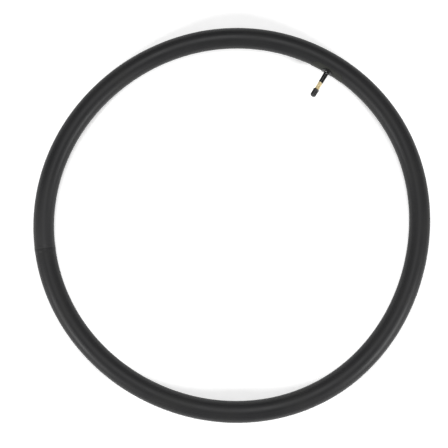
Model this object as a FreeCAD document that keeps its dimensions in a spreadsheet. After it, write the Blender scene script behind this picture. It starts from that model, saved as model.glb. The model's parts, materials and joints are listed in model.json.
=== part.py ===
import FreeCAD, Part

import math
import os

import Sketcher
from FreeCAD import Placement, Rotation, Vector

# A bicycle inner tube, blown up and lying on its side: a thin butyl ring with a rubber-covered
# Schrader valve, its screw-in core and its plastic dust cap.
#
# Frame: origin at the ring's centre, +Z along the ring's axis, valve on the +X side. Every piece of
# the valve is drawn on a straight axis of its own, the valve axis, which starts at the middle of the
# tube's section and runs out through the cap. "Up" in those outlines is along that axis.

# Driving sizes, in millimetres and degrees.
SIZES = [
    ("ring_radius", 315.0, "ring's centre to the middle of the tube's section"),
    ("section_radius", 17.5, "outside of the blown-up tube's round section"),
    ("tube_wall", 0.6, "butyl wall, moulded at 0.9 and stretched thinner by the air"),
    ("rest_width", 5.0, "flat the tube's own weight presses along its underside"),
    ("splice_angle", 129.0, "from the valve round the ring to the butt splice"),
    ("splice_width", 7.0, "band of the butt splice, along the tube"),
    ("splice_rise", 0.25, "height of the splice band above the skin"),
    ("valve_tilt", 15.0, "valve's lean out of the ring's plane, towards +Z"),
    ("patch_length", 60.0, "reinforcing patch, along the tube"),
    ("patch_width", 24.0, "reinforcing patch, across the tube"),
    ("patch_corner", 9.0, "corner radius of the patch"),
    ("patch_thick", 0.6, "thickness of the patch"),
    ("air_hole_radius", 2.6, "hole punched through the tube's wall and the patch"),
    ("foot_radius", 10.0, "moulded rubber foot of the valve, on the patch"),
    ("foot_thick", 0.8, "thickness of the foot"),
    ("flare_radius", 3.2, "sweep from the foot up into the sleeve"),
    ("sleeve_radius", 4.05, "outside of the rubber sleeve on the stem"),
    ("sleeve_reach", 21.3, "tube's skin to the end of the rubber sleeve"),
    ("shank_radius", 3.0, "brass shank inside the rubber sleeve"),
    ("flange_radius", 4.6, "brass flange that the rubber foot is moulded round"),
    ("flange_thick", 0.9, "thickness of that flange"),
    ("flange_lift", 1.5, "tube's skin to the underside of the flange"),
    ("stem_reach", 45.0, "tube's skin to the tip of the brass stem"),
    ("cap_thread_radius", 3.875, "8V1 thread on the stem, crest radius"),
    ("cap_thread_pitch", 0.79375, "8V1 thread, 32 to the inch"),
    ("thread_runout", 0.9, "plain brass between the sleeve and the first thread"),
    ("tip_chamfer", 0.6, "chamfer on the stem's tip"),
    ("thread_gap", 0.1, "radial gap between a screw and the thread it runs in"),
    ("thread_shown", 14.3, "thread left bare between the sleeve and the cap"),
    ("cap_length", 13.9, "dust cap, mouth to domed end"),
    ("cap_radius", 4.8, "body of the dust cap"),
    ("cap_rim_radius", 5.1, "rim round the cap's mouth"),
    ("cap_rim_height", 1.7, "height of that rim"),
    ("cap_dome_radius", 3.4, "rounding of the cap's end"),
    ("cap_top_wall", 1.3, "thickness of the cap's end"),
    ("cap_dome_hollow", 3.0, "radius of the hollow above the seal"),
    ("cap_thread_height", 6.0, "threaded length inside the cap"),
    ("flute_count", 24, "grip flutes round the cap"),
    ("flute_radius", 0.4, "radius of a flute's rounded cut"),
    ("flute_depth", 0.16, "depth of a flute"),
    ("seal_thick", 0.9, "rubber washer inside the cap"),
    ("seal_gap", 0.1, "washer to the stem's tip, and to the cap's ledge"),
    ("seal_fit", 0.06, "washer's rim to the cap's bore"),
    ("core_thread_radius", 2.58, "5V1 thread on the core's plug, crest radius"),
    ("core_thread_pitch", 0.70556, "5V1 thread, 36 to the inch"),
    ("core_thread_room", 7.0, "depth of the stem's inner thread"),
    ("seat_height", 1.0, "height of the cone that the core's gasket seats on"),
    ("chamber_radius", 2.05, "stem's bore round the core's barrel"),
    ("chamber_length", 12.5, "length of that bore"),
    ("bore_radius", 1.3, "stem's air bore below the core"),
    ("plug_inset", 0.4, "top of the core's plug below the stem's tip"),
    ("plug_neck_radius", 1.9, "plug's neck, which the core key grips"),
    ("plug_neck_height", 1.5, "height of that neck"),
    ("plug_flats", 3.0, "across the two flats on the neck"),
    ("plug_thread_height", 3.6, "threaded length of the plug"),
    ("plug_hole_radius", 1.05, "plug's hole round the pin"),
    ("barrel_radius", 1.75, "outside of the core's barrel"),
    ("barrel_bore_radius", 1.3, "barrel's bore round the spring"),
    ("barrel_length", 9.8, "barrel below the plug"),
    ("barrel_floor", 0.9, "floor that the spring stands on"),
    ("barrel_hole_radius", 0.8, "hole in that floor round the pin"),
    ("swivel_radius", 1.55, "barrel's neck, which turns in the plug"),
    ("swivel_depth", 1.2, "how far that neck stands in the plug"),
    ("swivel_gap", 0.12, "gap between the barrel's neck and the plug"),
    ("gasket_height", 1.8, "height of the core's gasket"),
    ("gasket_gap", 0.06, "gasket's cone to the stem's seat"),
    ("pin_radius", 0.5, "valve pin"),
    ("pin_head_radius", 0.85, "button on the pin's outer end"),
    ("pin_head_height", 0.5, "height of that button"),
    ("pin_inset", 0.1, "button's top below the stem's tip"),
    ("pin_rivet_radius", 0.75, "riveted inner end of the pin"),
    ("pin_rivet_height", 0.5, "height of that rivet head"),
    ("collar_radius", 1.18, "collar crimped on the pin, which holds the spring"),
    ("collar_height", 0.6, "height of that collar"),
    ("collar_drop", 0.65, "barrel's shoulder to the top of the collar"),
    ("spring_wire", 0.15, "radius of the spring's wire"),
    ("spring_radius", 0.95, "middle of the wire to the pin's axis"),
    ("spring_turns", 10, "turns in the spring"),
    ("cup_radius", 1.7, "cup that holds the seat washer"),
    ("cup_wall", 0.28, "wall and floor of the cup"),
    ("cup_height", 1.2, "height of the cup"),
    ("washer_proud", 0.3, "seat washer above the cup's lip"),
    ("washer_gap", 0.05, "seat washer to the barrel's end"),
]

THREAD_DEPTH = 0.5413       # depth of a 60 degree thread, in pitches
THREAD_CREST = 1 / 16       # half its crest, in pitches
THREAD_FLANK = 0.57735      # a flank's rise along the axis for each millimetre across
THREAD_BURY = 0.1           # how far a ridge's root runs into the metal under it

# Stations and radii worked out from the sizes. Stations are distances along the valve axis.
# The valve's root, well inside the tube, is where the blanks and holes of its lower pieces start.
WORKED_OUT = [
    ("valve_root", "section_radius / 2"),
    ("patch_top", "section_radius + patch_thick"),
    ("foot_top", "patch_top + foot_thick"),
    ("flange_base", "section_radius + flange_lift"),
    ("flange_top", "flange_base + flange_thick"),
    ("sleeve_end", "section_radius + sleeve_reach"),
    ("stem_tip", "section_radius + stem_reach"),
    ("cap_thread_root", f"cap_thread_radius - {THREAD_DEPTH} * cap_thread_pitch"),
    ("cap_thread_start", "sleeve_end + thread_runout"),
    ("cap_bore_radius", "cap_thread_radius + thread_gap"),
    ("cap_mouth", "sleeve_end + thread_shown"),
    ("cap_end", "cap_mouth + cap_length"),
    ("seal_base", "stem_tip + seal_gap"),
    ("seal_top", "seal_base + seal_thick"),
    ("cap_ledge", "seal_top + seal_gap"),
    ("core_thread_root", f"core_thread_radius - {THREAD_DEPTH} * core_thread_pitch"),
    ("core_bore_radius", "core_thread_radius + thread_gap"),
    ("thread_floor", "stem_tip - core_thread_room"),
    ("seat_floor", "thread_floor - seat_height"),
    ("chamber_floor", "seat_floor - chamber_length"),
    ("seat_slope", "(core_bore_radius - chamber_radius) / seat_height"),
    ("plug_top", "stem_tip - plug_inset"),
    ("plug_neck_base", "plug_top - plug_neck_height"),
    ("plug_base", "plug_neck_base - plug_thread_height"),
    ("barrel_top", "plug_base - swivel_gap"),
    ("swivel_top", "plug_base + swivel_depth"),
    ("barrel_base", "barrel_top - barrel_length"),
    ("spring_base", "barrel_base + barrel_floor"),
    ("gasket_radius", "core_thread_root + thread_gap - gasket_gap"),
    ("gasket_base", "seat_floor + gasket_gap"),
    ("gasket_foot", "chamber_radius - gasket_gap"),
    ("collar_top", "barrel_top - collar_drop"),
    ("collar_base", "collar_top - collar_height"),
    ("washer_top", "barrel_base - washer_gap"),
    ("cup_top", "washer_top - washer_proud"),
    ("cup_base", "cup_top - cup_height"),
    ("pin_top", "stem_tip - pin_inset"),
    ("pin_base", "cup_base - pin_rivet_height"),
]

PIECES = {}


def words_of(text):
    """The names in an expression."""
    spaced = "".join(c if c.isalnum() or c == "_" else " " for c in text)
    return {word for word in spaced.split() if not word[0].isdigit()}


def bound(text):
    """The expression with each name looked up where it is kept: the sheet, or the worked-out set."""
    sheet_names = {name for name, value, meaning in SIZES}
    worked_names = {name for name, rule in WORKED_OUT}
    for name in sorted(words_of(text), key=len, reverse=True):
        if name in sheet_names or name in worked_names:
            home = "sizes." if name in sheet_names else "stations."
            text = swap_word(text, name, home + name)
    return text


def swap_word(text, word, new):
    """The text with a whole word replaced, and longer words and dotted names left alone."""
    out = ""
    run = ""
    for c in text + " ":
        if c.isalnum() or c in "_.":
            run += c
        else:
            out += (new if run == word else run) + c
            run = ""
    return out[:-1]


def value(obj, text):
    """The number that an expression gives now."""
    return float(obj.evalExpression(bound(text)))


def bind(obj, target, text):
    obj.setExpression(target, bound(text))


def size_sheet(doc):
    """The sheet of driving sizes and, beside it, the set of stations that follow from them."""
    sheet = doc.addObject("Spreadsheet::Sheet", "sizes")
    for row, (name, size, meaning) in enumerate(SIZES, start=1):
        sheet.set(f"A{row}", meaning)
        sheet.set(f"B{row}", str(size))
        sheet.setAlias(f"B{row}", name)
    doc.recompute()
    stations = doc.addObject("App::VarSet", "stations")
    for name, rule in WORKED_OUT:
        stations.addProperty("App::PropertyFloat", name)
        bind(stations, name, rule)
    doc.recompute()


# ---- drawing helpers ----

def new_body(doc, name):
    body = doc.addObject("PartDesign::Body", name)
    body.Label = name
    return body


def origin_plane(body, role):
    return next(f for f in body.Origin.OriginFeatures if f.Role == role)


def arc_middle(start, end, radius):
    """The middle point of the short arc from start to end. A positive radius bulges to the right."""
    chord = end - start
    half = chord.Length / 2
    right = Vector(chord.y, -chord.x, 0).normalize()
    rise = abs(radius) - math.sqrt(max(radius * radius - half * half, 0.0))
    return (start + end) / 2 + right * math.copysign(rise, radius)


def pin_point(sketch, geometry, position, across, up):
    """Hold one end of a line or arc at a place given by two expressions."""
    point = sketch.getPoint(geometry, position)
    for kind, text, now in (("DistanceX", across, point.x), ("DistanceY", up, point.y)):
        held = sketch.addConstraint(Sketcher.Constraint(kind, -1, 1, geometry, position, now))
        bind(sketch, f"Constraints[{held}]", text)


def outline(body, name, corners, role="XZ_Plane"):
    """A closed sketch through the corners, drawn anticlockwise, each a pair of expressions, across
    and up. A third item makes the side that leaves that corner an arc of that radius, which bulges
    outwards, or is hollow when it is negative."""
    sketch = body.newObject("Sketcher::SketchObject", name)
    sketch.AttachmentSupport = [(origin_plane(body, role), "")]
    sketch.MapMode = "FlatFace"
    points = [Vector(value(sketch, c[0]), value(sketch, c[1]), 0) for c in corners]
    ends = []
    for i, corner in enumerate(corners):
        start = points[i]
        end = points[(i + 1) % len(points)]
        if len(corner) == 3:
            radius = value(sketch, corner[2])
            shape = Part.Arc(start, arc_middle(start, end, radius), end)
        else:
            shape = Part.LineSegment(start, end)
        side = sketch.addGeometry(shape, False)
        first = 1 if (sketch.getPoint(side, 1) - start).Length < 1e-6 else 2
        ends.append((side, first, 3 - first))
    for i, (side, first, last) in enumerate(ends):
        next_side, next_first, next_last = ends[(i + 1) % len(ends)]
        sketch.addConstraint(Sketcher.Constraint("Coincident", side, last, next_side, next_first))
        pin_point(sketch, side, first, corners[i][0], corners[i][1])
        if len(corners[i]) == 3:
            radius = abs(value(sketch, corners[i][2]))
            held = sketch.addConstraint(Sketcher.Constraint("Radius", side, radius))
            bind(sketch, f"Constraints[{held}]", f"abs({corners[i][2]})")
    return sketch


def turned(body, name, corners):
    """A solid of revolution about the valve axis."""
    sketch = outline(body, name + "_outline", corners)
    feature = body.newObject("PartDesign::Revolution", name)
    feature.Profile = sketch
    feature.ReferenceAxis = (sketch, ["V_Axis"])
    feature.Angle = 360
    return feature


def turned_cut(body, name, corners):
    """A groove turned about the valve axis."""
    sketch = outline(body, name + "_outline", corners)
    feature = body.newObject("PartDesign::Groove", name)
    feature.Profile = sketch
    feature.ReferenceAxis = (sketch, ["V_Axis"])
    feature.Angle = 360
    return feature


def thread(body, name, root, depth, start, height, pitch, inner=False):
    """A 60 degree ridge wound right-handed about the valve axis. It stands outwards from the root
    radius, or inwards when inner, and its first turn starts at angle zero at the start station."""
    sign = "-" if inner else "+"
    back = "+" if inner else "-"
    crest = f"({THREAD_CREST} * {pitch})"
    base = f"({THREAD_CREST} * {pitch} + {THREAD_FLANK} * ({depth} + {THREAD_BURY}))"
    top = f"{root} {sign} ({depth})"
    bottom = f"{root} {back} {THREAD_BURY}"
    sketch = outline(body, name + "_outline", [
        (bottom, f"{start} - {base}"),
        (top, f"{start} - {crest}"),
        (top, f"{start} + {crest}"),
        (bottom, f"{start} + {base}"),
    ])
    feature = body.newObject("PartDesign::AdditiveHelix", name)
    feature.Profile = sketch
    feature.ReferenceAxis = (sketch, ["V_Axis"])
    feature.Mode = "pitch-height-angle"
    feature.LeftHanded = False
    feature.Reversed = False
    feature.Refine = False
    bind(feature, "Pitch", pitch)
    bind(feature, "Height", height)
    return feature


def on_valve_axis(piece):
    """Put a piece drawn along +Z on the valve axis, leaning out of the ring's plane."""
    piece.Placement = Placement(Vector(0, 0, 0), Rotation(Vector(0, 1, 0), -90))
    bind(piece, "Placement.Base.x", "ring_radius")
    bind(piece, "Placement.Rotation.Angle", "valve_tilt - 90")


def ring_solid(doc, name, radius):
    """A plain ring, concentric with the tube, of the given section radius."""
    ring = doc.addObject("Part::Torus", name)
    bind(ring, "Radius1", "ring_radius")
    bind(ring, "Radius2", radius)
    return ring


def valve_rod(doc, name, radius, base, top):
    """A plain cylinder on the valve axis."""
    rod = doc.addObject("Part::Cylinder", name)
    bind(rod, "Radius", radius)
    bind(rod, "Height", f"{top} - ({base})")
    on_valve_axis(rod)
    lean = "valve_tilt * 1 deg"
    bind(rod, "Placement.Base.x", f"ring_radius - cos({lean}) * ({base})")
    bind(rod, "Placement.Base.z", f"sin({lean}) * ({base})")
    return rod


def joined(doc, name, *pieces):
    fuse = doc.addObject("Part::MultiFuse", name)
    fuse.Shapes = list(pieces)
    return fuse


def less(doc, name, base, tool):
    cut = doc.addObject("Part::Cut", name)
    cut.Base = base
    cut.Tool = tool
    return cut


def shared(doc, name, base, tool):
    common = doc.addObject("Part::Common", name)
    common.Base = base
    common.Tool = tool
    return common


def finished(name, piece):
    piece.Label = name
    PIECES[name] = piece


# ---- the tube and the rubber round the valve ----

def make_tube_body(doc):
    """The butyl ring: hollow, with its splice band, a flat underside and the punched air hole."""
    skin = ring_solid(doc, "tube_skin", "section_radius")
    splice = ring_solid(doc, "splice_band", "section_radius + splice_rise")
    band = "(splice_width / ring_radius * 180 / pi)"
    bind(splice, "Angle3", f"{band} * 1 deg")
    splice.Placement = Placement(Vector(0, 0, 0), Rotation(Vector(0, 0, 1), 90))
    bind(splice, "Placement.Rotation.Angle", f"splice_angle - {band} / 2")
    cavity = ring_solid(doc, "tube_cavity", "section_radius - tube_wall")
    floor = doc.addObject("Part::Box", "rest_plane")
    reach = "(ring_radius + 2 * section_radius)"
    rest = "sqrt(section_radius ^ 2 - rest_width ^ 2 / 4)"
    bind(floor, "Length", f"2 * {reach}")
    bind(floor, "Width", f"2 * {reach}")
    bind(floor, "Height", "section_radius")
    bind(floor, "Placement.Base.x", f"-{reach}")
    bind(floor, "Placement.Base.y", f"-{reach}")
    bind(floor, "Placement.Base.z", f"-{rest} - section_radius")
    hole = valve_rod(doc, "air_hole", "air_hole_radius", "valve_root", "patch_top")
    solid = joined(doc, "tube_solid", skin, splice)
    waste = joined(doc, "tube_waste", cavity, floor, hole)
    finished("tube_body", less(doc, "tube_body", solid, waste))


def make_valve_patch(doc):
    """The rubber patch that spreads the valve's pull over the tube, bent to the tube's skin."""
    blank = new_body(doc, "patch_blank")
    side = "(patch_length / 2)"
    edge = "(patch_width / 2)"
    corner = "patch_corner"
    shape = outline(blank, "patch_blank_outline", [
        (f"-{edge} + {corner}", f"-{side}"),
        (f"{edge} - {corner}", f"-{side}", corner),
        (edge, f"-{side} + {corner}"),
        (edge, f"{side} - {corner}", corner),
        (f"{edge} - {corner}", side),
        (f"-{edge} + {corner}", side, corner),
        (f"-{edge}", f"{side} - {corner}"),
        (f"-{edge}", f"-{side} + {corner}", corner),
    ], role="XY_Plane")
    pad = blank.newObject("PartDesign::Pad", "patch_blank_pad")
    pad.Profile = shape
    bind(pad, "Length", "foot_top + section_radius")
    on_valve_axis(blank)
    shell = less(doc, "patch_shell",
                 ring_solid(doc, "patch_outside", "patch_top"),
                 ring_solid(doc, "patch_inside", "section_radius"))
    sheet = shared(doc, "patch_sheet", shell, blank)
    hole = valve_rod(doc, "patch_hole", "air_hole_radius", "valve_root", "foot_top")
    finished("valve_patch", less(doc, "valve_patch", sheet, hole))


def make_stem_rubber(doc):
    """The moulded foot and sleeve: bent to the patch below, swept up into a straight round sleeve."""
    sleeve = new_body(doc, "sleeve_blank")
    turned(sleeve, "sleeve_turned", [
        ("0", "valve_root"),
        ("sleeve_radius + flare_radius", "valve_root"),
        ("sleeve_radius + flare_radius", "foot_top", "-flare_radius"),
        ("sleeve_radius", "foot_top + flare_radius"),
        ("sleeve_radius", "sleeve_end"),
        ("0", "sleeve_end"),
    ])
    on_valve_axis(sleeve)
    shell = less(doc, "foot_shell",
                 ring_solid(doc, "foot_outside", "foot_top"),
                 ring_solid(doc, "foot_inside", "patch_top"))
    disc = valve_rod(doc, "foot_disc", "foot_radius", "valve_root",
                     "foot_top + flare_radius")
    foot = shared(doc, "foot_sheet", shell, disc)
    bore = new_body(doc, "sleeve_bore")
    turned(bore, "sleeve_bore_turned", [
        ("0", "valve_root"),
        ("air_hole_radius", "valve_root"),
        ("air_hole_radius", "flange_base"),
        ("flange_radius", "flange_base"),
        ("flange_radius", "flange_top"),
        ("shank_radius", "flange_top"),
        ("shank_radius", "sleeve_end + thread_runout"),
        ("0", "sleeve_end + thread_runout"),
    ])
    on_valve_axis(bore)
    waste = joined(doc, "sleeve_waste", ring_solid(doc, "foot_seat", "patch_top"), bore)
    blank = joined(doc, "sleeve_and_foot", sleeve, foot)
    finished("stem_rubber", less(doc, "stem_rubber", blank, waste))


# ---- the brass stem ----

def make_valve_stem(doc):
    """The brass stem: flange and plain shank in the rubber, threaded outside and in above it."""
    stem = new_body(doc, "valve_stem")
    turned(stem, "stem_turned", [
        ("bore_radius", "flange_base"),
        ("flange_radius", "flange_base"),
        ("flange_radius", "flange_top"),
        ("shank_radius", "flange_top"),
        ("shank_radius", "sleeve_end"),
        ("cap_thread_root", "sleeve_end"),
        ("cap_thread_root", "stem_tip"),
        ("core_bore_radius", "stem_tip"),
        ("core_bore_radius", "thread_floor"),
        ("chamber_radius", "seat_floor"),
        ("chamber_radius", "chamber_floor"),
        ("bore_radius", "chamber_floor"),
    ])
    thread(stem, "cap_thread", "cap_thread_root", "cap_thread_radius - cap_thread_root",
           "cap_thread_start", "stem_tip - cap_thread_start", "cap_thread_pitch")
    thread(stem, "core_socket_thread", "core_bore_radius", "core_thread_radius - core_thread_root",
           "(thread_floor + core_thread_pitch)", "core_thread_room - core_thread_pitch",
           "core_thread_pitch", inner=True)
    turned_cut(stem, "tip_lead", [
        ("cap_thread_radius - tip_chamfer", "stem_tip"),
        ("cap_thread_radius + thread_gap", "stem_tip - tip_chamfer - thread_gap"),
        ("cap_thread_radius + thread_gap", "stem_tip"),
    ])
    turned_cut(stem, "tip_face", [
        ("core_thread_root - tip_chamfer", "stem_tip"),
        ("cap_thread_radius + tip_chamfer", "stem_tip"),
        ("cap_thread_radius + tip_chamfer", "stem_tip + cap_thread_pitch"),
        ("core_thread_root - tip_chamfer", "stem_tip + cap_thread_pitch"),
    ])
    on_valve_axis(stem)
    finished("valve_stem", stem)


# ---- the dust cap ----

def make_valve_cap(doc):
    """The plastic cap: rimmed mouth, fluted wall, domed end and a thread inside."""
    cap = new_body(doc, "valve_cap")
    turned(cap, "cap_turned", [
        ("cap_bore_radius + thread_gap", "cap_mouth"),
        ("cap_rim_radius", "cap_mouth"),
        ("cap_rim_radius", "cap_mouth + cap_rim_height"),
        ("cap_radius", "cap_mouth + cap_rim_height + cap_rim_radius - cap_radius"),
        ("cap_radius", "cap_end - cap_dome_radius", "cap_dome_radius"),
        ("cap_radius - cap_dome_radius", "cap_end"),
        ("0", "cap_end"),
        ("0", "cap_end - cap_top_wall"),
        ("cap_dome_hollow / 2", "cap_end - cap_top_wall"),
        ("cap_dome_hollow", "cap_end - cap_top_wall - cap_dome_hollow / 3"),
        ("cap_dome_hollow", "cap_ledge"),
        ("cap_bore_radius", "cap_ledge"),
        ("cap_bore_radius", "cap_mouth + 2 * thread_gap"),
    ])
    first_turn = "(ceil((cap_mouth + cap_thread_pitch - cap_thread_start) / cap_thread_pitch) + 0.5)"
    start = f"(cap_thread_start + {first_turn} * cap_thread_pitch)"
    thread(cap, "cap_inner_thread", "cap_bore_radius", "cap_thread_radius - cap_thread_root",
           start, "cap_thread_height", "cap_thread_pitch", inner=True)
    flute = cap.newObject("Sketcher::SketchObject", "flute_outline")
    flute.AttachmentSupport = [(origin_plane(cap, "XY_Plane"), "")]
    flute.MapMode = "FlatFace"
    bind(flute, "AttachmentOffset.Base.z", "cap_end")
    centre = "(cap_radius + flute_radius - flute_depth)"
    round_cut = Part.Circle(Vector(value(flute, centre), 0, 0), Vector(0, 0, 1),
                            value(flute, "flute_radius"))
    flute.addGeometry(round_cut, False)
    pin_point(flute, 0, 3, centre, "0")
    held = flute.addConstraint(Sketcher.Constraint("Radius", 0, value(flute, "flute_radius")))
    bind(flute, f"Constraints[{held}]", "flute_radius")
    cut = cap.newObject("PartDesign::Pocket", "flute")
    cut.Profile = flute
    bind(cut, "Length", "cap_length - cap_rim_height - cap_rim_radius + cap_radius - flute_radius")
    around = cap.newObject("PartDesign::PolarPattern", "flutes")
    around.Originals = [cut]
    around.Axis = (flute, ["N_Axis"])
    around.Angle = 360
    bind(around, "Occurrences", "flute_count")
    cap.Tip = around
    on_valve_axis(cap)
    finished("valve_cap", cap)


def make_cap_seal(doc):
    """The rubber washer at the end of the cap's bore, which closes on the stem's tip."""
    seal = new_body(doc, "cap_seal")
    turned(seal, "seal_turned", [
        ("cap_dome_hollow", "seal_base"),
        ("cap_bore_radius - seal_fit", "seal_base"),
        ("cap_bore_radius - seal_fit", "seal_top"),
        ("cap_dome_hollow", "seal_top"),
    ])
    on_valve_axis(seal)
    finished("cap_seal", seal)


# ---- the valve core ----

def make_core_plug(doc):
    """The threaded plug at the core's outer end, with two flats for the core key."""
    plug = new_body(doc, "core_plug")
    recess = "(swivel_radius + swivel_gap)"
    turned(plug, "plug_turned", [
        (recess, "plug_base"),
        ("core_thread_root", "plug_base"),
        ("core_thread_root", "plug_neck_base"),
        ("plug_neck_radius", "plug_neck_base"),
        ("plug_neck_radius", "plug_top"),
        ("plug_hole_radius", "plug_top"),
        ("plug_hole_radius", "swivel_top + swivel_gap"),
        (recess, "swivel_top + swivel_gap"),
    ])
    first_turn = "(ceil((plug_base - thread_floor) / core_thread_pitch) + 0.5)"
    start = f"(thread_floor + {first_turn} * core_thread_pitch)"
    thread(plug, "plug_thread", "core_thread_root", "core_thread_radius - core_thread_root",
           start, f"plug_neck_base - core_thread_pitch / 2 - {start}", "core_thread_pitch")
    for side in ("-", ""):
        sketch = outline(plug, "flat_outline", [
            (f"{side}plug_flats / 2", "plug_neck_base"),
            (f"{side}plug_neck_radius * 1.5", "plug_neck_base"),
            (f"{side}plug_neck_radius * 1.5", "plug_top + plug_inset"),
            (f"{side}plug_flats / 2", "plug_top + plug_inset"),
        ])
        flat = plug.newObject("PartDesign::Pocket", "flat")
        flat.Profile = sketch
        flat.Midplane = True
        bind(flat, "Length", "4 * plug_neck_radius")
    on_valve_axis(plug)
    finished("core_plug", plug)


def make_core_barrel(doc):
    """The core's barrel: its neck turns in the plug, and its floor carries the spring."""
    barrel = new_body(doc, "core_barrel")
    turned(barrel, "barrel_turned", [
        ("barrel_hole_radius", "barrel_base"),
        ("barrel_radius", "barrel_base"),
        ("barrel_radius", "barrel_top"),
        ("swivel_radius", "barrel_top"),
        ("swivel_radius", "swivel_top"),
        ("barrel_bore_radius", "swivel_top"),
        ("barrel_bore_radius", "spring_base"),
        ("barrel_hole_radius", "spring_base"),
    ])
    on_valve_axis(barrel)
    finished("core_barrel", barrel)


def make_core_gasket(doc):
    """The ring moulded on the barrel that seats on the cone in the stem."""
    gasket = new_body(doc, "core_gasket")
    turned(gasket, "gasket_turned", [
        ("barrel_radius", "gasket_base"),
        ("gasket_foot", "gasket_base"),
        ("gasket_radius", "gasket_base + (gasket_radius - gasket_foot) / seat_slope"),
        ("gasket_radius", "gasket_base + gasket_height"),
        ("barrel_radius", "gasket_base + gasket_height"),
    ])
    on_valve_axis(gasket)
    finished("core_gasket", gasket)


def make_core_pin(doc):
    """The pin down the middle: a button to press outside, a rivet head inside."""
    pin = new_body(doc, "core_pin")
    turned(pin, "pin_turned", [
        ("0", "pin_base"),
        ("pin_rivet_radius", "pin_base"),
        ("pin_rivet_radius", "cup_base"),
        ("pin_radius", "cup_base"),
        ("pin_radius", "pin_top - pin_head_height"),
        ("pin_head_radius", "pin_top - pin_head_height"),
        ("pin_head_radius", "pin_top"),
        ("0", "pin_top"),
    ])
    on_valve_axis(pin)
    finished("core_pin", pin)


def make_core_collar(doc):
    """The collar crimped on the pin, which the spring pushes outwards."""
    collar = new_body(doc, "core_collar")
    turned(collar, "collar_turned", [
        ("pin_radius", "collar_base"),
        ("collar_radius", "collar_base"),
        ("collar_radius", "collar_top"),
        ("pin_radius", "collar_top"),
    ])
    on_valve_axis(collar)
    finished("core_collar", collar)


def make_core_spring(doc):
    """The coil spring round the pin, between the barrel's floor and the collar."""
    spring = new_body(doc, "core_spring")
    wire = spring.newObject("Sketcher::SketchObject", "wire_outline")
    wire.AttachmentSupport = [(origin_plane(spring, "XZ_Plane"), "")]
    wire.MapMode = "FlatFace"
    start = "(spring_base + spring_wire)"
    centre = Vector(value(wire, "spring_radius"), value(wire, start), 0)
    wire.addGeometry(Part.Circle(centre, Vector(0, 0, 1), value(wire, "spring_wire")), False)
    pin_point(wire, 0, 3, "spring_radius", start)
    held = wire.addConstraint(Sketcher.Constraint("Radius", 0, value(wire, "spring_wire")))
    bind(wire, f"Constraints[{held}]", "spring_wire")
    coil = spring.newObject("PartDesign::AdditiveHelix", "coil")
    coil.Profile = wire
    coil.ReferenceAxis = (wire, ["V_Axis"])
    coil.Mode = "height-turns-angle"
    bind(coil, "Height", "collar_base - spring_base - 2 * spring_wire")
    bind(coil, "Turns", "spring_turns")
    on_valve_axis(spring)
    finished("core_spring", spring)


def make_core_cup(doc):
    """The brass cup on the pin's inner end that holds the seat washer."""
    cup = new_body(doc, "core_cup")
    turned(cup, "cup_turned", [
        ("pin_radius", "cup_base"),
        ("cup_radius", "cup_base"),
        ("cup_radius", "cup_top"),
        ("cup_radius - cup_wall", "cup_top"),
        ("cup_radius - cup_wall", "cup_base + cup_wall"),
        ("pin_radius", "cup_base + cup_wall"),
    ])
    on_valve_axis(cup)
    finished("core_cup", cup)


def make_core_washer(doc):
    """The rubber seat washer in the cup, which closes the barrel's inner end."""
    washer = new_body(doc, "core_washer")
    turned(washer, "washer_turned", [
        ("pin_radius", "cup_base + cup_wall"),
        ("cup_radius - cup_wall", "cup_base + cup_wall"),
        ("cup_radius - cup_wall", "washer_top"),
        ("pin_radius", "washer_top"),
    ])
    on_valve_axis(washer)
    finished("core_washer", washer)


def check_document(doc):
    """Stop before anything is written if a feature failed or a piece isn't one sound solid."""
    for obj in doc.Objects:
        if "Invalid" in obj.State or "Error" in obj.State:
            raise RuntimeError(f"{obj.Name} failed: {obj.State}")
    for name, piece in PIECES.items():
        shape = piece.Shape
        if shape.isNull() or not shape.isValid() or len(shape.Solids) != 1:
            raise RuntimeError(f"{name} is not one valid solid")


def main():
    doc = FreeCAD.newDocument("inner_tube")
    size_sheet(doc)
    make_tube_body(doc)
    make_valve_patch(doc)
    make_stem_rubber(doc)
    make_valve_stem(doc)
    make_valve_cap(doc)
    make_cap_seal(doc)
    make_core_plug(doc)
    make_core_barrel(doc)
    make_core_gasket(doc)
    make_core_pin(doc)
    make_core_collar(doc)
    make_core_spring(doc)
    make_core_cup(doc)
    make_core_washer(doc)
    doc.recompute()
    check_document(doc)
    os.makedirs("parts", exist_ok=True)
    for name, piece in PIECES.items():
        piece.Shape.exportStep(os.path.join("parts", name + ".step"))
        box = piece.Shape.BoundBox
        print(f"{name}: {piece.Shape.Volume:.2f} mm3, x {box.XMin:.1f} to {box.XMax:.1f}, "
              f"z {box.ZMin:.1f} to {box.ZMax:.1f}")


main()
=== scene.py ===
import json
import math

import bpy
from mathutils import Matrix, Vector


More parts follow.
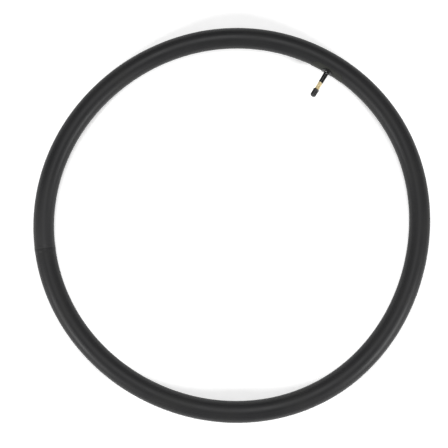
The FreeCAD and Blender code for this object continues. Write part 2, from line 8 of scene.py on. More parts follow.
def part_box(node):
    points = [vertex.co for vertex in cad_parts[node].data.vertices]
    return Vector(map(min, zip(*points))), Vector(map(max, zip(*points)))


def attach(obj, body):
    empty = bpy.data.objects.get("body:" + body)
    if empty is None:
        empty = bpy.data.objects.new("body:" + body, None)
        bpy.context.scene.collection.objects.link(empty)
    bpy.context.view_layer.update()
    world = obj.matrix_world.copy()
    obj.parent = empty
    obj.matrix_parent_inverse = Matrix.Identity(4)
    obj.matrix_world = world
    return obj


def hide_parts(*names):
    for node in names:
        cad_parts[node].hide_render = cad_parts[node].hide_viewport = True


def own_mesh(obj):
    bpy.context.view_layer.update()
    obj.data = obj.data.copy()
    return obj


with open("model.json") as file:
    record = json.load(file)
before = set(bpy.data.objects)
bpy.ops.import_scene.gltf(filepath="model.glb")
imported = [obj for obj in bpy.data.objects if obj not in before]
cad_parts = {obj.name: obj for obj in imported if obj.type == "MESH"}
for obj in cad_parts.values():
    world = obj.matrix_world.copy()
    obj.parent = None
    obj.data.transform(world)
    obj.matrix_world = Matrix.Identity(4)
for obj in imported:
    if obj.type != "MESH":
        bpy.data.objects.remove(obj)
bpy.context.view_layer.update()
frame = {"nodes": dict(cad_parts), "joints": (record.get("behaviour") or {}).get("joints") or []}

# An inner tube, blown up and lying on its side, seen from straight above.
# Lengths are in metres, in the CAD frame: origin at the ring's centre, +Z up along the ring's axis,
# valve on the +X side. MM turns a maker's millimetres into metres.
MM = 0.001

# ---- places read from the frame ----

CAP_SCREW = next(joint for joint in frame["joints"] if joint["name"] == "cap_turn")
VALVE_BASE = Vector(CAP_SCREW["pos_m"])              # middle of the tube's section at the valve
VALVE_AXIS = Vector(CAP_SCREW["axis"])               # out along the valve, towards the ring's centre
RING_RADIUS = VALVE_BASE.x
TUBE_LOW, TUBE_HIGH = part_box("tube_body")
SECTION_RADIUS = TUBE_HIGH.x - RING_RADIUS
REST_LEVEL = TUBE_LOW.z
SPLICE_ANGLE = math.radians(129)                     # from the valve round to the butt splice

# Sizes in millimetres. Heights on the valve are measured along it from the middle of the section.
SPLICE_WIDTH = 7.0
SPLICE_SLOPE = 1.5
SPLICE_RISE = 0.25
SEAM_WIDTH = 1.0
SPLICE_HIGHLIGHT_LENGTH = 150.0                                  # painted highlight: the tube drawn paler on one side of the splice, for light caught on its kink
PARTING_LEVEL = 6.5                                  # mould's parting line above the section's middle
PARTING_WIDTH = 0.8
PARTING_RISE = 0.15
LINE_SPACING = 1.5                                   # extrusion lines round the tube's section
PATCH_WIDTH = 24.0
PATCH_CORNER = 9.0
PATCH_THICK = 0.6
PATCH_FEATHER = 1.2                                  # rim over which the patch thins to its edge
PATCH_GRID = 2.0                                     # width of the facets that let the patch bend
SKIN_GAP = 0.02                                      # keeps one skin from lying in another's
FOOT_THICK = 0.8
FOOT_RADIUS = 10.0
FLARE_RADIUS = 3.2
SLEEVE_RADIUS = 4.05
SLEEVE_END = 38.8
SLEEVE_LIP = 0.5
SHANK_RADIUS = 3.0
AIR_HOLE_RADIUS = 2.6
FLANGE_TOP = 19.9
CAP_MOUTH = 53.1
CAP_END = 67.0
CAP_RADIUS = 4.8
CAP_RIM_RADIUS = 5.1
CAP_RIM_HEIGHT = 1.7
CAP_DOME_RADIUS = 3.4
CAP_BORE_RADIUS = 3.975
CAP_LEDGE = 63.6
CAP_HOLLOW_RADIUS = 3.0
CAP_TOP_WALL = 1.3
CAP_EDGE = 0.3                                       # rounding of the cap's rim
FLUTE_DEPTH = 0.16
SPRING_BASE = 47.98
COLLAR_BASE = 55.6
SPRING_RADIUS = 0.95
SPRING_WIRE = 0.15                                   # radius of the wire

# Counts
FLUTES = 24
SPRING_TURNS = 10
TUBE_STEPS = 256                                     # facets round the ring, before it is subdivided
LATHE_STEPS = 96                                     # facets round a turned piece

CLOSE = 0.001 * MM                                   # points nearer than this are one point

# The valve frame: pieces of the valve are modelled standing up on the origin, then put in place.
SIDEWAYS = Vector((0, 1, 0))
VALVE_PLACE = Matrix.Translation(VALVE_BASE) @ Matrix((
    SIDEWAYS.cross(VALVE_AXIS), SIDEWAYS, VALVE_AXIS)).transposed().to_4x4()

# ---- tools used by every piece ----


def linear(code):
    """A colour given as an sRGB hex code, as the linear colour that a shader takes."""
    parts = [int(code[i:i + 2], 16) / 255 for i in (1, 3, 5)]
    return [c / 12.92 if c <= 0.04045 else ((c + 0.055) / 1.055) ** 2.4 for c in parts] + [1.0]


def add(tree, kind, inputs, **settings):
    """A shader node with its settings, and each input given a value or linked to an output."""
    node = tree.nodes.new(kind)
    for name, setting in settings.items():
        setattr(node, name, setting)
    for name, given in inputs.items():
        if isinstance(given, bpy.types.NodeSocket):
            tree.links.new(given, node.inputs[name])
        else:
            node.inputs[name].default_value = given
    return node


def start_material(name):
    """An empty material with an output; returns it and its tree."""
    material = bpy.data.materials.new(name)
    material.use_nodes = True
    material.node_tree.nodes.clear()
    return material, material.node_tree


def end_material(tree, shader):
    add(tree, "ShaderNodeOutputMaterial", {"Surface": shader.outputs["BSDF"]})


def colours(ramp, *stops):
    """Set a colour ramp's stops, each a position and a hex code."""
    while len(ramp.color_ramp.elements) < len(stops):
        ramp.color_ramp.elements.new(1.0)
    for element, (position, code) in zip(ramp.color_ramp.elements, stops):
        element.position = position
        element.color = linear(code)


def every(spacing):
    """A pattern's scale, in cells to the metre, for cells this many millimetres across."""
    return 1 / (spacing * MM)


def line_mask(tree, coordinate, middle, width):
    """A soft line: 1 where a coordinate is at its middle, falling to 0 at half its width."""
    away = add(tree, "ShaderNodeMath", {0: coordinate, 1: middle}, operation="SUBTRACT")
    gap = add(tree, "ShaderNodeMath", {0: away.outputs["Value"]}, operation="ABSOLUTE")
    fade = add(tree, "ShaderNodeMapRange", {
        "Value": gap.outputs["Value"], "From Min": 0.0, "From Max": width / 2, "To Min": 1.0,
        "To Max": 0.0})
    return fade.outputs["Result"]


def alone(piece):
    """Make one piece the only selected and the active one."""
    bpy.ops.object.select_all(action="DESELECT")
    piece.select_set(True)
    bpy.context.view_layer.objects.active = piece


def pick(piece, test, kind="VERT"):
    """Enter edit mode with just those vertices or faces selected whose place passes the test."""
    bpy.ops.object.mode_set(mode="EDIT")
    bpy.ops.mesh.select_mode(type=kind)
    bpy.ops.mesh.select_all(action="DESELECT")
    bpy.ops.object.mode_set(mode="OBJECT")
    members = piece.data.vertices if kind == "VERT" else piece.data.polygons
    count = 0
    for member in members:
        member.select = bool(test(member.co if kind == "VERT" else member.center))
        count += member.select
    bpy.ops.object.mode_set(mode="EDIT")
    return count


def object_mode():
    bpy.ops.object.mode_set(mode="OBJECT")


def apply_modifier(piece, kind, **settings):
    """Add a modifier with its settings and apply it."""
    modifier = piece.modifiers.new(kind.title(), kind)
    for name, setting in settings.items():
        setattr(modifier, name, setting)
    alone(piece)
    bpy.ops.object.modifier_apply(modifier=modifier.name)


def finish_piece(piece, name, material, body, node):
    """Name a piece, give it its material and say what it rides on and which node it stands for."""
    piece.name = name
    piece.data.name = name
    piece.data.materials.clear()
    piece.data.materials.append(material)
    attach(piece, body)
    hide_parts(node)


def set_on_valve(piece):
    """Move a piece that was modelled standing on the origin to its place on the valve axis."""
    alone(piece)
    piece.matrix_world = VALVE_PLACE
    bpy.ops.object.transform_apply(location=True, rotation=True, scale=True)


def lathe(corners):
    """Spin an outline, pairs of radius and height in millimetres, about the upright axis. It is
    closed first, unless both its ends stand on the axis."""
    places = [Vector((r, 0, z)) * MM for r, z in corners]
    bpy.ops.object.select_all(action="DESELECT")
    bpy.ops.mesh.primitive_plane_add(size=MM)
    piece = bpy.context.object
    bpy.ops.object.mode_set(mode="EDIT")
    bpy.ops.mesh.select_mode(type="VERT")
    bpy.ops.mesh.select_all(action="SELECT")
    bpy.ops.mesh.merge(type="CENTER")
    bpy.ops.transform.translate(value=places[0])
    for last, place in zip(places, places[1:]):
        bpy.ops.mesh.extrude_region_move(TRANSFORM_OT_translate={"value": place - last})
    object_mode()
    if corners[0][0] or corners[-1][0]:
        ends = (places[0], places[-1])
        pick(piece, lambda co: min((co - end).length for end in ends) < CLOSE)
        bpy.ops.mesh.edge_face_add()
        object_mode()
    alone(piece)
    bpy.ops.object.mode_set(mode="EDIT")
    bpy.ops.mesh.select_all(action="SELECT")
    bpy.ops.mesh.spin(steps=LATHE_STEPS, angle=math.tau, center=(0, 0, 0), axis=(0, 0, 1))
    bpy.ops.mesh.select_all(action="SELECT")
    bpy.ops.mesh.remove_doubles(threshold=CLOSE)
    bpy.ops.mesh.normals_make_consistent(inside=False)
    object_mode()
    return piece


def arc(r, z, radius, start, end, steps=6):
    """Outline points along an arc about (r, z), from one clock angle to another in degrees."""
    turns = [math.radians(start + (end - start) * i / steps) for i in range(steps + 1)]
    return [(r + radius * math.cos(turn), z + radius * math.sin(turn)) for turn in turns]


def drape(piece, tube, lift, group=""):
    """Lay a piece, or one group of its points, on the tube along the valve, this far off the skin."""
    piece.matrix_world = VALVE_PLACE
    apply_modifier(piece, "SHRINKWRAP", target=tube, wrap_method="PROJECT", use_project_z=True,
                   use_positive_direction=False, use_negative_direction=True,
                   wrap_mode="ABOVE_SURFACE", offset=lift * MM, vertex_group=group)


def smooth(piece, degrees=35):
    alone(piece)
    bpy.ops.object.shade_smooth_by_angle(angle=math.radians(degrees))


# ---- camera, floor and lights ----

VIEW_SPAN = 752.64 * MM                              # what the view takes in at the ring's height
VALVE_CLOCK = math.radians(58.4)                     # where the valve stands, anticlockwise from right
CAMERA_HEIGHT = 3.0
AIM_RIGHT = -16.2 * MM                               # view's centre from the origin, along its right
AIM_UP = -0.3 * MM                                   # and along its top


def view_direction(right, up):
    """A direction or offset given along the view's right and top, as one in the CAD frame."""
    return Matrix.Rotation(-VALVE_CLOCK, 3, "Z") @ Vector((right, up, 0))


def make_camera():
    bpy.ops.object.camera_add()
    camera = bpy.context.object
    camera.name = "overhead_camera"
    camera.location = view_direction(AIM_RIGHT, AIM_UP) + Vector((0, 0, CAMERA_HEIGHT))
    camera.rotation_euler = (0, 0, -VALVE_CLOCK)
    camera.data.lens = camera.data.sensor_width * CAMERA_HEIGHT / VIEW_SPAN
    camera.data.clip_end = 100
    bpy.context.scene.camera = camera


def soft_box(name, clock, elevation, distance, width, height, power):
    """A studio light, placed by its clock angle in the view and its elevation above the floor."""
    flat = view_direction(math.cos(math.radians(clock)), math.sin(math.radians(clock)))
    rise = math.radians(elevation)
    place = (flat * math.cos(rise) + Vector((0, 0, math.sin(rise)))) * distance
    bpy.ops.object.light_add(type="AREA", location=place)
    light = bpy.context.object
    light.name = name
    light.data.shape = "RECTANGLE"
    light.data.size = width
    light.data.size_y = height
    light.data.energy = power
    light.rotation_euler = (-place).to_track_quat("-Z", "Y").to_euler()


FLOOR_SIZE = 14.0
FLOOR_GLOW = 0.33
WORLD_STRENGTH = 0.22


def make_floor():
    """Matt white sweep lit from behind, so that it burns out round the tube and holds little shadow."""
    bpy.ops.mesh.primitive_plane_add(size=FLOOR_SIZE, location=(0, 0, REST_LEVEL))
    floor = bpy.context.object
    floor.name = "paper_floor"
    material, tree = start_material("matt_white_paper")
    place = add(tree, "ShaderNodeTexCoord", {})
    grain = add(tree, "ShaderNodeTexNoise", {
        "Vector": place.outputs["Object"], "Scale": every(16), "Detail": 2.0})
    tone = add(tree, "ShaderNodeValToRGB", {"Fac": grain.outputs["Fac"]})
    colours(tone, (0.3, "#f4f4f4"), (0.7, "#f9f9f9"))
    end_material(tree, add(tree, "ShaderNodeBsdfPrincipled", {
        "Base Color": tone.outputs["Color"], "Roughness": 0.95, "Specular IOR Level": 0.1,
        "Emission Color": linear("#ffffff"), "Emission Strength": FLOOR_GLOW}))
    floor.data.materials.append(material)


def make_studio():
    soft_box("overhead_bank", clock=95, elevation=72, distance=4.2, width=1.8, height=1.8, power=82)
    soft_box("low_left_box", clock=215, elevation=27, distance=2.4, width=0.55, height=0.4, power=36)
    soft_box("low_right_box", clock=325, elevation=27, distance=2.4, width=0.55, height=0.4, power=40)
    world = bpy.data.worlds.new("white_studio")
    world.use_nodes = True
    background = world.node_tree.nodes["Background"]
    background.inputs["Color"].default_value = linear("#ffffff")
    background.inputs["Strength"].default_value = WORLD_STRENGTH
    bpy.context.scene.world = world
    bpy.context.scene.view_settings.view_transform = "Standard"


# ---- materials ----


def butyl_rubber():
    """Butyl rubber, extruded as a tube and cured in a mould: near black, satin, with a bloom of talc
    and fine lines along the tube. Its IOR is set low, to dull the sheen as talc does."""
    material, tree = start_material("butyl_rubber_extruded")
    place = add(tree, "ShaderNodeTexCoord", {})
    # uneven cure and talc, in clouds
    cloud = add(tree, "ShaderNodeTexNoise", {
        "Vector": place.outputs["Object"], "Scale": every(71), "Detail": 3.0, "Roughness": 0.55})
    tone = add(tree, "ShaderNodeValToRGB", {"Fac": cloud.outputs["Fac"]})
    colours(tone, (0.32, "#18191a"), (0.52, "#1d1d1e"), (0.7, "#232321"))
    # talc caught in the skin: specks, drawn coarser than they are so that they show
    specks = add(tree, "ShaderNodeTexNoise", {
        "Vector": place.outputs["Object"], "Scale": every(1.1), "Detail": 4.0, "Roughness": 0.7})
    # extrusion lines round the section, each running on for a third of the ring
    girth = math.tau * SECTION_RADIUS
    lines_map = add(tree, "ShaderNodeMapping", {
        "Vector": place.outputs["UV"], "Scale": (3.0, girth * every(LINE_SPACING), 1.0)})
    lines = add(tree, "ShaderNodeTexNoise", {
        "Vector": lines_map.outputs["Vector"], "Scale": 1.0, "Detail": 3.0, "Roughness": 0.6},
        noise_dimensions="2D")
    streak = add(tree, "ShaderNodeMix", {
        0: lines.outputs["Fac"], 6: tone.outputs["Color"], 7: linear("#262627")}, data_type="RGBA")
    dust = add(tree, "ShaderNodeMapRange", {
        "Value": specks.outputs["Fac"], "From Min": 0.5, "From Max": 0.8, "To Min": 0.0,
        "To Max": 0.16})
    skin = add(tree, "ShaderNodeMix", {
        0: dust.outputs["Result"], 6: streak.outputs[2], 7: linear("#4a4a47")}, data_type="RGBA")
    # the butt splice: a dark seam, and a painted highlight that lightens the tube on one side of it,
    # for light caught where the tube kinks at the splice
    spot = add(tree, "ShaderNodeSeparateXYZ", {"Vector": place.outputs["Object"]})
    turn = add(tree, "ShaderNodeMath", {0: spot.outputs["Y"], 1: spot.outputs["X"]},
               operation="ARCTAN2")
    run = add(tree, "ShaderNodeMapRange", {
        "Value": turn.outputs["Value"], "From Min": SPLICE_ANGLE - SPLICE_HIGHLIGHT_LENGTH * MM / RING_RADIUS,
        "From Max": SPLICE_ANGLE, "To Min": 0.0, "To Max": 0.35})
    before = add(tree, "ShaderNodeMath", {0: turn.outputs["Value"], 1: SPLICE_ANGLE},
                 operation="LESS_THAN")
    seam = line_mask(tree, turn.outputs["Value"], SPLICE_ANGLE, SEAM_WIDTH * MM / RING_RADIUS)
    # painted highlight: paler over the stretch before the splice, rising towards the seam
    splice_highlight = add(tree, "ShaderNodeMath", {
        0: run.outputs["Result"], 1: before.outputs["Value"]}, operation="MULTIPLY")
    skin = add(tree, "ShaderNodeMix", {
        0: splice_highlight.outputs["Value"], 6: skin.outputs[2], 7: linear("#3a3a3b")}, data_type="RGBA")
    skin = add(tree, "ShaderNodeMix", {
        0: seam, 6: skin.outputs[2], 7: linear("#0c0c0c")}, data_type="RGBA")
    # the mould's parting line, rubbed paler along the inside of the ring
    flat = add(tree, "ShaderNodeCombineXYZ", {"X": spot.outputs["X"], "Y": spot.outputs["Y"]})
    spoke = add(tree, "ShaderNodeVectorMath", {0: flat.outputs["Vector"]}, operation="LENGTH")
    inside = add(tree, "ShaderNodeMath", {0: spoke.outputs["Value"], 1: RING_RADIUS},
                 operation="LESS_THAN")
    level = line_mask(tree, spot.outputs["Z"], PARTING_LEVEL * MM, PARTING_WIDTH * MM)
    parting = add(tree, "ShaderNodeMath", {0: level, 1: inside.outputs["Value"]},
                  operation="MULTIPLY")
    skin = add(tree, "ShaderNodeMix", {
        0: parting.outputs["Value"], 6: skin.outputs[2], 7: linear("#3c3c3b")}, data_type="RGBA")
    rough = add(tree, "ShaderNodeMapRange", {
        "Value": cloud.outputs["Fac"], "From Min": 0.3, "From Max": 0.7, "To Min": 0.4,
        "To Max": 0.52})
    grain = add(tree, "ShaderNodeBump", {
        "Height": specks.outputs["Fac"], "Strength": 0.12, "Distance": 0.1 * MM})
    relief = add(tree, "ShaderNodeBump", {
        "Height": lines.outputs["Fac"], "Strength": 0.25, "Distance": 0.25 * MM,
        "Normal": grain.outputs["Normal"]})
    end_material(tree, add(tree, "ShaderNodeBsdfPrincipled", {
        "Base Color": skin.outputs[2], "Roughness": rough.outputs["Result"], "IOR": 1.3,
        "Specular IOR Level": 0.45, "Normal": relief.outputs["Normal"]}))
    return material


def patch_rubber():
    """Calendered butyl patch: a shade paler and duller than the tube."""
    material, tree = start_material("butyl_patch_calendered")
    place = add(tree, "ShaderNodeTexCoord", {})
    cloud = add(tree, "ShaderNodeTexNoise", {
        "Vector": place.outputs["Object"], "Scale": every(17), "Detail": 4.0, "Roughness": 0.6})
    tone = add(tree, "ShaderNodeValToRGB", {"Fac": cloud.outputs["Fac"]})
    colours(tone, (0.3, "#242523"), (0.7, "#2e2f2b"))
    # cloth mark left by the calender's liner
    weave = add(tree, "ShaderNodeTexNoise", {
        "Vector": place.outputs["Object"], "Scale": every(0.8), "Detail": 2.0})
    relief = add(tree, "ShaderNodeBump", {
        "Height": weave.outputs["Fac"], "Strength": 0.2, "Distance": 0.1 * MM})
    end_material(tree, add(tree, "ShaderNodeBsdfPrincipled", {
        "Base Color": tone.outputs["Color"], "Roughness": 0.5, "IOR": 1.3,
        "Specular IOR Level": 0.45, "Normal": relief.outputs["Normal"]}))
    return material


def moulded_rubber():
    """Rubber pressed in a polished mould: deep black and glossy, a little rubbed on the high spots."""
    material, tree = start_material("rubber_moulded_glossy")
    place = add(tree, "ShaderNodeTexCoord", {})
    cloud = add(tree, "ShaderNodeTexNoise", {
        "Vector": place.outputs["Object"], "Scale": every(3), "Detail": 5.0, "Roughness": 0.6})
    tone = add(tree, "ShaderNodeValToRGB", {"Fac": cloud.outputs["Fac"]})
    colours(tone, (0.35, "#090909"), (0.75, "#121213"))
    rough = add(tree, "ShaderNodeMapRange", {
        "Value": cloud.outputs["Fac"], "From Min": 0.3, "From Max": 0.7, "To Min": 0.16,
        "To Max": 0.3})
    relief = add(tree, "ShaderNodeBump", {
        "Height": cloud.outputs["Fac"], "Strength": 0.15, "Distance": 0.08 * MM})
    end_material(tree, add(tree, "ShaderNodeBsdfPrincipled", {
        "Base Color": tone.outputs["Color"], "Roughness": rough.outputs["Result"], "IOR": 1.5,
        "Normal": relief.outputs["Normal"]}))
    return material


def turned_brass(name, pale, dark, roughness):
    """Brass from the lathe: pale gold, with fine tool marks round the axis and a little tarnish."""
    material, tree = start_material(name)
    place = add(tree, "ShaderNodeTexCoord", {})
    cloud = add(tree, "ShaderNodeTexNoise", {
        "Vector": place.outputs["Object"], "Scale": every(2), "Detail": 4.0, "Roughness": 0.65})
    tone = add(tree, "ShaderNodeValToRGB", {"Fac": cloud.outputs["Fac"]})
    colours(tone, (0.3, dark), (0.6, pale))
    rough = add(tree, "ShaderNodeMapRange", {
        "Value": cloud.outputs["Fac"], "From Min": 0.3, "From Max": 0.7,
        "To Min": roughness + 0.08, "To Max": roughness})
    marks = add(tree, "ShaderNodeTexNoise", {
        "Vector": place.outputs["Object"], "Scale": every(0.25), "Detail": 2.0})
    relief = add(tree, "ShaderNodeBump", {
        "Height": marks.outputs["Fac"], "Strength": 0.1, "Distance": 0.02 * MM})
    end_material(tree, add(tree, "ShaderNodeBsdfPrincipled", {
        "Base Color": tone.outputs["Color"], "Metallic": 1.0, "Roughness": rough.outputs["Result"],
        "Normal": relief.outputs["Normal"]}))
    return material


def cap_plastic():
    """Black polyamide, moulded with a fine spark-eroded grain: satin, dark grey where light falls."""
    material, tree = start_material("polyamide_moulded_black")
    place = add(tree, "ShaderNodeTexCoord", {})
    grain = add(tree, "ShaderNodeTexNoise", {
        "Vector": place.outputs["Object"], "Scale": every(0.2), "Detail": 2.0})
    cloud = add(tree, "ShaderNodeTexNoise", {
        "Vector": place.outputs["Object"], "Scale": every(3.3), "Detail": 3.0})
    tone = add(tree, "ShaderNodeValToRGB", {"Fac": cloud.outputs["Fac"]})
    colours(tone, (0.3, "#1a1a1b"), (0.7, "#212122"))
    relief = add(tree, "ShaderNodeBump", {
        "Height": grain.outputs["Fac"], "Strength": 0.2, "Distance": 0.03 * MM})
    end_material(tree, add(tree, "ShaderNodeBsdfPrincipled", {
        "Base Color": tone.outputs["Color"], "Roughness": 0.5, "IOR": 1.53,
        "Normal": relief.outputs["Normal"]}))
    return material


def plain_rubber():
    """Soft moulded rubber of the washers: black and matt."""
    material, tree = start_material("rubber_washer_matt")
    place = add(tree, "ShaderNodeTexCoord", {})
    grain = add(tree, "ShaderNodeTexNoise", {
        "Vector": place.outputs["Object"], "Scale": every(0.4), "Detail": 3.0})
    tone = add(tree, "ShaderNodeValToRGB", {"Fac": grain.outputs["Fac"]})
    colours(tone, (0.3, "#1a1a1a"), (0.7, "#262626"))
    relief = add(tree, "ShaderNodeBump", {
        "Height": grain.outputs["Fac"], "Strength": 0.2, "Distance": 0.03 * MM})
    end_material(tree, add(tree, "ShaderNodeBsdfPrincipled", {
        "Base Color": tone.outputs["Color"], "Roughness": 0.7, "IOR": 1.51,
        "Normal": relief.outputs["Normal"]}))
    return material


def ptfe_red():
    """PTFE-coated gasket ring: waxy red."""
    material, tree = start_material("ptfe_ring_red")
    place = add(tree, "ShaderNodeTexCoord", {})
    cloud = add(tree, "ShaderNodeTexNoise", {
        "Vector": place.outputs["Object"], "Scale": every(0.7), "Detail": 3.0})
    tone = add(tree, "ShaderNodeValToRGB", {"Fac": cloud.outputs["Fac"]})
    colours(tone, (0.3, "#8f1d17"), (0.7, "#a82a20"))
    end_material(tree, add(tree, "ShaderNodeBsdfPrincipled", {
        "Base Color": tone.outputs["Color"], "Roughness": 0.45, "IOR": 1.38,
        "Subsurface Weight": 0.1}))
    return material


def spring_steel():
    """Drawn stainless wire: bright grey with drawing lines."""
    material, tree = start_material("stainless_wire_drawn")
    place = add(tree, "ShaderNodeTexCoord", {})
    lines = add(tree, "ShaderNodeTexNoise", {
        "Vector": place.outputs["Object"], "Scale": every(0.17), "Detail": 2.0})
    tone = add(tree, "ShaderNodeValToRGB", {"Fac": lines.outputs["Fac"]})
    colours(tone, (0.3, "#a9a9aa"), (0.7, "#c8c8c9"))
    end_material(tree, add(tree, "ShaderNodeBsdfPrincipled", {
        "Base Color": tone.outputs["Color"], "Metallic": 1.0, "Roughness": 0.28}))
    return material


# ---- the tube ----

# A blown-up tube is never a true circle. Each push moves the ring out or in where it bulges or
# pulls in: clock angle from the valve in degrees, and how far in millimetres.
RING_PUSHES = [(-18.4, 3.2), (61.6, -3.6), (128.6, 3.1), (193.6, -2.2), (243.6, 2.0), (281.6, -2.9)]
PUSH_REACH = 300 * MM
# The wall stretches unevenly, so the tube is fatter or slimmer: clock angle, and change of radius.
SECTION_SWELLS = [(76.0, -0.2), (146.0, 0.15), (218.0, 1.1), (276.0, 0.5)]
SWELL_REACH = 350 * MM


def ring_angle(place):
    return math.atan2(place.y, place.x)


def near_angle(angle, spread):
    """A test that a place lies within an angle, in radians, of a spoke of the ring."""
    return lambda co: abs((ring_angle(co) - angle + math.pi) % math.tau - math.pi) < spread


def make_tube():
    """The butyl tube: a ring pushed out of true, swollen unevenly, and pressed flat underneath."""
    bpy.ops.object.select_all(action="DESELECT")
    bpy.ops.mesh.primitive_torus_add(major_segments=TUBE_STEPS, minor_segments=48,
                                     major_radius=RING_RADIUS, minor_radius=SECTION_RADIUS)
    tube = bpy.context.object
    one_step = math.tau / TUBE_STEPS
    for clock, push in RING_PUSHES:
        spoke = math.radians(clock)
        pick(tube, near_angle(spoke, one_step))
        bpy.ops.transform.translate(
            value=(math.cos(spoke) * push * MM, math.sin(spoke) * push * MM, 0),
            use_proportional_edit=True, proportional_edit_falloff="SMOOTH",
            proportional_size=PUSH_REACH)
        object_mode()
    for clock, swell in SECTION_SWELLS:
        pick(tube, near_angle(math.radians(clock), one_step))
        bpy.ops.transform.shrink_fatten(
            value=swell * MM, use_proportional_edit=True, proportional_edit_falloff="SMOOTH",
            proportional_size=SWELL_REACH)
        object_mode()
    settle_on_valve(tube)
    apply_modifier(tube, "SUBSURF", levels=1, render_levels=1)
    raise_parting_line(tube)
    raise_splice(tube)
    press_flat(tube)
    alone(tube)
    bpy.ops.object.shade_smooth()
    return tube


def raise_parting_line(tube):
    """Cut the mould's parting line round the inside of the ring and lift its middle to a ridge."""
    level = PARTING_LEVEL * MM
    half = PARTING_WIDTH / 2 * MM
    reach = 3 * MM                                   # how far off the line a face to be cut may be

    def inside(co):
        return co.xy.length < RING_RADIUS and abs(co.z - level) < reach
    for offset in (-half, 0, half):
        pick(tube, inside, kind="FACE")
        bpy.ops.mesh.bisect(plane_co=(0, 0, level + offset), plane_no=(0, 0, 1))
        object_mode()
    pick(tube, lambda co: inside(co) and abs(co.z - level) < 10 * CLOSE)
    bpy.ops.transform.shrink_fatten(value=PARTING_RISE * MM)
    object_mode()


def raise_splice(tube):
    """Cut the butt splice's band into the skin and lift it, with a short slope at each side."""
    spoke = Vector((math.cos(SPLICE_ANGLE), math.sin(SPLICE_ANGLE), 0))
    along = Vector((-spoke.y, spoke.x, 0))
    half = SPLICE_WIDTH / 2 * MM
    slope = SPLICE_SLOPE * MM
    near = near_angle(SPLICE_ANGLE, 4 * half / RING_RADIUS)
    for offset in (-half - slope, -half, 0, half, half + slope):
        pick(tube, near, kind="FACE")
        bpy.ops.mesh.bisect(plane_co=along * offset, plane_no=along)
        object_mode()
    pick(tube, lambda co: near(co) and abs(co.dot(along)) < half + slope / 2)
    bpy.ops.transform.shrink_fatten(value=SPLICE_RISE * MM)
    object_mode()


def settle_on_valve(tube):
    """Slide the whole ring so that its section at the valve is where the valve stands."""
    at_valve = [v.co.x for v in tube.data.vertices if abs(v.co.y) < 5 * MM and v.co.x > 0]
    middle = (max(at_valve) + min(at_valve)) / 2
    pick(tube, lambda co: True)
    bpy.ops.transform.translate(value=(RING_RADIUS - middle, 0, 0))
    object_mode()


def press_flat(tube):
    """Flatten what hangs below the floor's level, as the tube's own weight does."""
    if pick(tube, lambda co: co.z < REST_LEVEL):
        bpy.ops.transform.resize(value=(1, 1, 0), center_override=(0, 0, REST_LEVEL))
    object_mode()


# ---- the valve ----

def make_patch(tube):
    """The patch: a flat blank with rounded corners, draped over the tube, thin at its rim."""
    low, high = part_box("valve_patch")
    length = high.y - low.y
    width = PATCH_WIDTH * MM
    bpy.ops.object.select_all(action="DESELECT")
    bpy.ops.mesh.primitive_plane_add(size=1, location=(0, 0, 2 * SECTION_RADIUS))
    patch = bpy.context.object
    patch.scale = (width, length, 1)
    bpy.ops.object.transform_apply(location=True, rotation=True, scale=True)
    bpy.ops.object.mode_set(mode="EDIT")
    bpy.ops.mesh.select_all(action="SELECT")
    bpy.ops.mesh.bevel(offset=PATCH_CORNER * MM, segments=8, affect="VERTICES")
    bpy.ops.mesh.select_all(action="SELECT")
    bpy.ops.mesh.inset(thickness=PATCH_FEATHER * MM)
    for span, direction in ((length, Vector((0, 1, 0))), (width, Vector((1, 0, 0)))):
        cuts = round(span / (PATCH_GRID * MM))
        for i in range(1, cuts):
            bpy.ops.mesh.select_all(action="SELECT")
            bpy.ops.mesh.bisect(plane_co=direction * (i / cuts - 0.5) * span, plane_no=direction)
    bpy.ops.mesh.select_all(action="SELECT")
    bpy.ops.mesh.region_to_loop()
    object_mode()
    inner = [v.index for v in patch.data.vertices if not v.select]
    patch.vertex_groups.new(name="full_thickness").add(inner, 1.0, "REPLACE")
    drape(patch, tube, SKIN_GAP)
    apply_modifier(patch, "SOLIDIFY", thickness=(PATCH_THICK - 2 * SKIN_GAP) * MM, offset=1,
                   vertex_group="full_thickness", thickness_vertex_group=0.25)
    alone(patch)
    bpy.ops.object.transform_apply(location=True, rotation=True, scale=True)
    smooth(patch, 50)
    return patch


def make_sleeve(tube):
    """The moulded rubber: a foot that lies on the patch, swept up into a round sleeve."""
    clear = 2 * FLARE_RADIUS                         # height from which the foot drops on to the tube
    foot_top = SECTION_RADIUS / MM + PATCH_THICK + FOOT_THICK
    hip = SLEEVE_RADIUS + FLARE_RADIUS
    under_level = foot_top + 1
    under = [(r, under_level) for r in (AIR_HOLE_RADIUS, 5.0, 7.5, FOOT_RADIUS - 0.2)]
    over = [(r, foot_top + clear) for r in (FOOT_RADIUS, FOOT_RADIUS - 0.5, 8.5, hip)]
    flare = arc(hip, foot_top + FLARE_RADIUS, FLARE_RADIUS, 255, 180, 5)
    lip = arc(SLEEVE_RADIUS - SLEEVE_LIP, SLEEVE_END - SLEEVE_LIP, SLEEVE_LIP, 0, 90, 4)
    bore_radius = SHANK_RADIUS + SKIN_GAP
    bore = [(bore_radius, SLEEVE_END), (bore_radius, FLANGE_TOP), (AIR_HOLE_RADIUS, FLANGE_TOP)]
    sleeve = lathe(under + over + flare + lip + bore)
    lifts = {"under": PATCH_THICK + SKIN_GAP, "over": PATCH_THICK + FOOT_THICK}
    groups = {name: sleeve.vertex_groups.new(name=name) for name in lifts}
    for v in sleeve.data.vertices:
        out = (v.co.xy.length / MM - SLEEVE_RADIUS) / FLARE_RADIUS
        if abs(v.co.z - under_level * MM) < 10 * CLOSE:
            groups["under"].add([v.index], 1.0, "REPLACE")
        elif out > 0:
            groups["over"].add([v.index], min(out, 1.0), "REPLACE")
    for name, lift in lifts.items():
        drape(sleeve, tube, lift, name)
    alone(sleeve)
    bpy.ops.object.transform_apply(location=True, rotation=True, scale=True)
    smooth(sleeve, 40)
    return sleeve


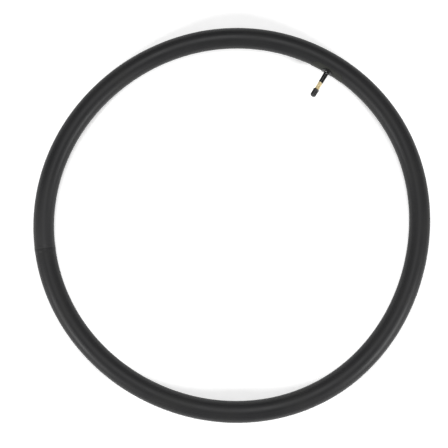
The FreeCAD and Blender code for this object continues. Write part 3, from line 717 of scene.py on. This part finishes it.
def make_cap():
    """The dust cap: turned, with a rounded rim and dome, then fluted for the fingers."""
    shoulder = CAP_MOUTH + CAP_RIM_HEIGHT
    dome = CAP_END - CAP_DOME_RADIUS
    hollow = CAP_END - CAP_TOP_WALL
    top = [(0, CAP_END)] + arc(CAP_RADIUS - CAP_DOME_RADIUS, dome, CAP_DOME_RADIUS, 90, 0, 10)
    rim = ([(CAP_RADIUS, shoulder + 0.5)]
           + arc(CAP_RIM_RADIUS - 0.25, shoulder - 0.1, 0.25, 80, 0, 3)
           + arc(CAP_RIM_RADIUS - CAP_EDGE, CAP_MOUTH + CAP_EDGE, CAP_EDGE, 0, -90, 4))
    bore = [(CAP_BORE_RADIUS + 0.2, CAP_MOUTH), (CAP_BORE_RADIUS, CAP_MOUTH + 0.2),
            (CAP_BORE_RADIUS, CAP_LEDGE), (CAP_HOLLOW_RADIUS, CAP_LEDGE),
            (CAP_HOLLOW_RADIUS, hollow - CAP_HOLLOW_RADIUS / 3),
            (CAP_HOLLOW_RADIUS / 2, hollow), (0, hollow)]
    cap = lathe(top + rim + bore)
    step = math.tau / LATHE_STEPS
    steps_per_flute = LATHE_STEPS // FLUTES

    def in_flute(co):
        on_wall = abs(co.xy.length / MM - CAP_RADIUS) < 0.05 and shoulder < co.z / MM < dome
        return on_wall and int(ring_angle(co) % math.tau / step) % steps_per_flute == 0
    pick(cap, in_flute, kind="FACE")
    bpy.ops.mesh.inset(thickness=0.08 * MM)
    bpy.ops.transform.shrink_fatten(value=-FLUTE_DEPTH * MM)
    object_mode()
    set_on_valve(cap)
    smooth(cap, 40)
    return cap


def make_spring():
    """The core's coil spring: a wire wound round the pin, which on the real valve shortens as the pin
    goes in.
    """
    wire = SPRING_WIRE * MM
    bpy.ops.object.select_all(action="DESELECT")
    bpy.ops.mesh.primitive_circle_add(
        vertices=12, radius=wire, rotation=(math.pi / 2, 0, 0),
        location=(SPRING_RADIUS * MM, 0, SPRING_BASE * MM + wire))
    spring = bpy.context.object
    bpy.ops.object.transform_apply(location=True, rotation=True, scale=True)
    rise = (COLLAR_BASE - SPRING_BASE) * MM - 2 * wire
    apply_modifier(spring, "SCREW", axis="Z", angle=math.tau, iterations=SPRING_TURNS, steps=24,
                   screw_offset=rise / SPRING_TURNS)
    bpy.ops.object.mode_set(mode="EDIT")
    bpy.ops.mesh.select_mode(type="VERT")
    bpy.ops.mesh.select_all(action="DESELECT")
    bpy.ops.mesh.select_non_manifold()
    bpy.ops.mesh.fill_holes(sides=0)
    bpy.ops.mesh.select_all(action="SELECT")
    bpy.ops.mesh.normals_make_consistent(inside=False)
    object_mode()
    set_on_valve(spring)
    smooth(spring, 40)
    return spring


def make_plain_nodes():
    """Pieces whose CAD shape is right keep it and get their finish."""
    brass = turned_brass("brass_stem_turned", "#f4e8c8", "#e9dbb2", 0.42)
    core = turned_brass("brass_core_turned", "#c9ae74", "#9d8048", 0.3)
    rubber = plain_rubber()
    finishes = {
        "valve_stem": brass, "cap_seal": rubber, "core_plug": core, "core_barrel": core,
        "core_gasket": ptfe_red(), "core_pin": core, "core_collar": core, "core_cup": core,
        "core_washer": rubber,
    }
    for node, material in finishes.items():
        mesh = frame["nodes"][node].data
        mesh.materials.clear()
        mesh.materials.append(material)


make_camera()
make_floor()
make_studio()
make_plain_nodes()
tube_piece = make_tube()
finish_piece(tube_piece, "tube", butyl_rubber(), "root", "tube_body")
finish_piece(make_patch(tube_piece), "patch", patch_rubber(), "root", "valve_patch")
finish_piece(make_sleeve(tube_piece), "sleeve", moulded_rubber(), "root",
             "stem_rubber")
finish_piece(make_cap(), "cap", cap_plastic(), "cap", "valve_cap")
spring_piece = make_spring()
finish_piece(spring_piece, "spring", spring_steel(), "core", "core_spring")
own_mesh(spring_piece)
